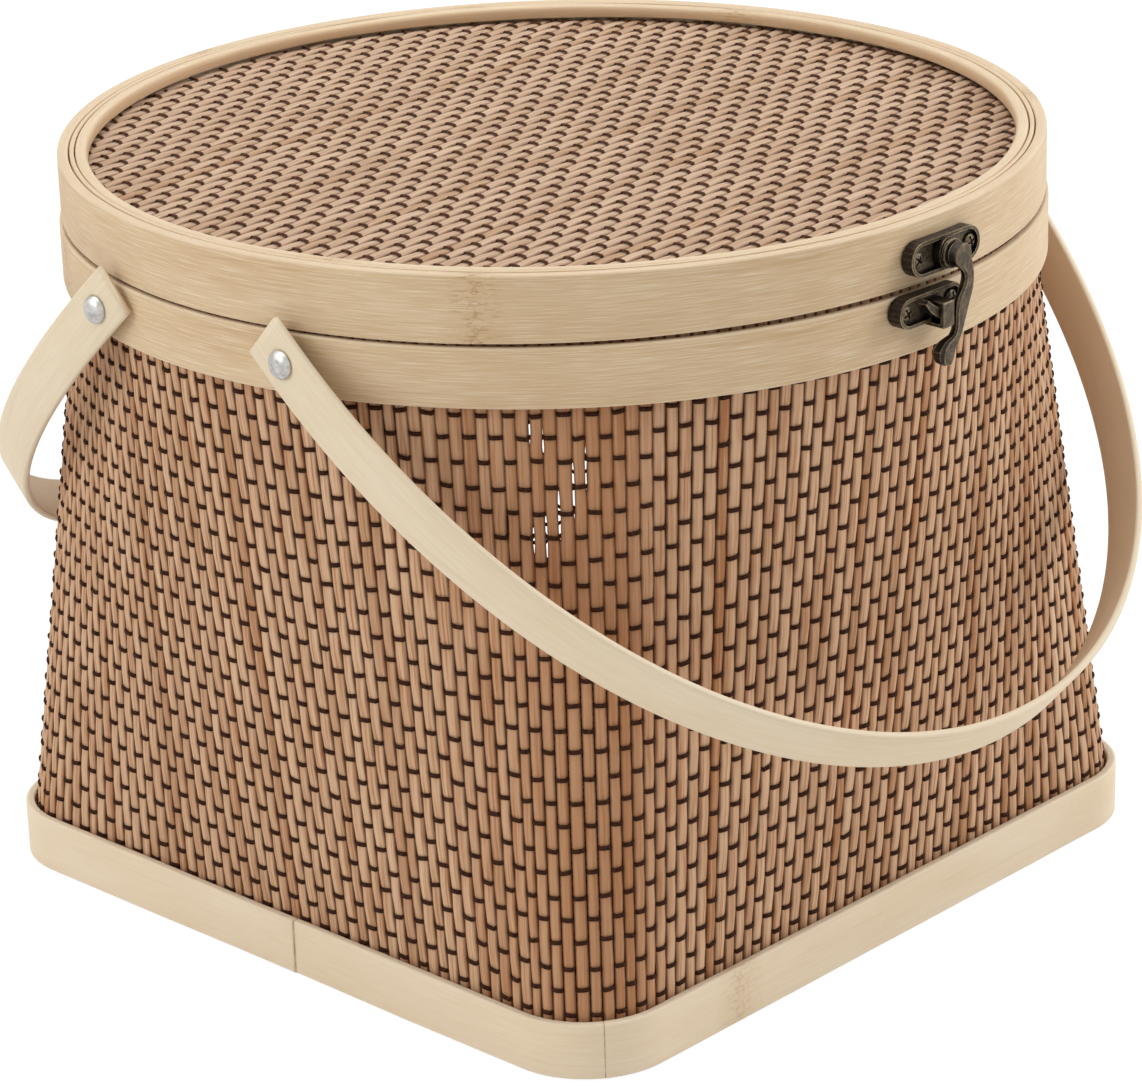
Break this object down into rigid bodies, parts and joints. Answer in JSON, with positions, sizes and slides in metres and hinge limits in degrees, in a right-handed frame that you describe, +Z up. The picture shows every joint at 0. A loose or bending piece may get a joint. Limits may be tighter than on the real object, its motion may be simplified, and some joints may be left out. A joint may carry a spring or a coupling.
{
  "type": "lidded bamboo basket",
  "caption": "Woven bamboo food basket with a square foot, a round hooped mouth, a hinged lid with a swing hook clasp, and two bent strap handles.",
  "frame": {"origin": "on the standing surface under the centre of the basket's square foot", "axes": "+Z up, the clasp at -Y, the lid hinge at +Y, +X to the right when the clasp faces the viewer"},
  "size_m": [0.237, 0.2789, 0.1799],
  "materials": {
    "bamboo_hoop": "planed pale bamboo, satin, fine lengthwise grain",
    "bamboo_strap": "bent pale bamboo strap, satin, worn smooth",
    "woven_sticks": "split bamboo sticks in a plain weave, matt tan",
    "weaving_thread": "thin dark brown waxed thread",
    "antique_bronze": "antiqued bronze plate, dark in the hollows, rubbed bright on the edges",
    "rivet_aluminium": "dull aluminium"
  },
  "bodies": {
    "basket": {"base_band_outer": "bamboo_hoop", "base_band_inner": "bamboo_hoop", "base_panel": "woven_sticks", "body_weave": "woven_sticks", "rim_band_outer": "bamboo_hoop", "rim_band_inner": "bamboo_hoop", "rivet_front_left": "rivet_aluminium", "rivet_front_right": "rivet_aluminium", "rivet_back_left": "rivet_aluminium", "rivet_back_right": "rivet_aluminium", "spacer_front_left": "rivet_aluminium", "spacer_front_right": "rivet_aluminium", "spacer_back_left": "rivet_aluminium", "spacer_back_right": "rivet_aluminium", "burr_front_left": "rivet_aluminium", "burr_front_right": "rivet_aluminium", "burr_back_left": "rivet_aluminium", "burr_back_right": "rivet_aluminium", "catch_plate": "antique_bronze", "catch_screw_left": "antique_bronze", "catch_screw_right": "antique_bronze", "hinge_leaf_body": "antique_bronze", "hinge_leaf_body_screw_left": "antique_bronze", "hinge_leaf_body_screw_right": "antique_bronze", "hinge_pin": "antique_bronze"},
    "lid": {"lid_hoop_outer": "bamboo_hoop", "lid_hoop_middle": "bamboo_hoop", "lid_ring_upper": "bamboo_hoop", "lid_ring_lower": "bamboo_hoop", "lid_mat": "woven_sticks", "hinge_leaf_lid": "antique_bronze", "hinge_leaf_lid_screw_left": "antique_bronze", "hinge_leaf_lid_screw_right": "antique_bronze", "clasp_plate": "antique_bronze", "clasp_screw_left": "antique_bronze", "clasp_screw_right": "antique_bronze"},
    "clasp_hook": {"clasp_arm": "antique_bronze"},
    "front_handle": {"handle_front": "bamboo_strap"},
    "back_handle": {"handle_back": "bamboo_strap"}
  },
  "joints": [
    {"name": "lid_hinge", "type": "hinge", "parent": "basket", "child": "lid", "pos_m": [0, 0.1189, 0.1644], "axis": [-1, 0, 0], "range_deg": [0, 110]},
    {"name": "clasp_pivot", "type": "hinge", "parent": "lid", "child": "clasp_hook", "pos_m": [0, -0.1205, 0.1717], "axis": [0, -1, 0], "range_deg": [0, 90]},
    {"name": "front_handle_pivot", "type": "hinge", "parent": "basket", "child": "front_handle", "pos_m": [0, -0.03, 0.1584], "axis": [-1, 0, 0], "range_deg": [0, 136]},
    {"name": "back_handle_pivot", "type": "hinge", "parent": "basket", "child": "back_handle", "pos_m": [0, 0.03, 0.1584], "axis": [1, 0, 0], "range_deg": [0, 138]}
  ]
}
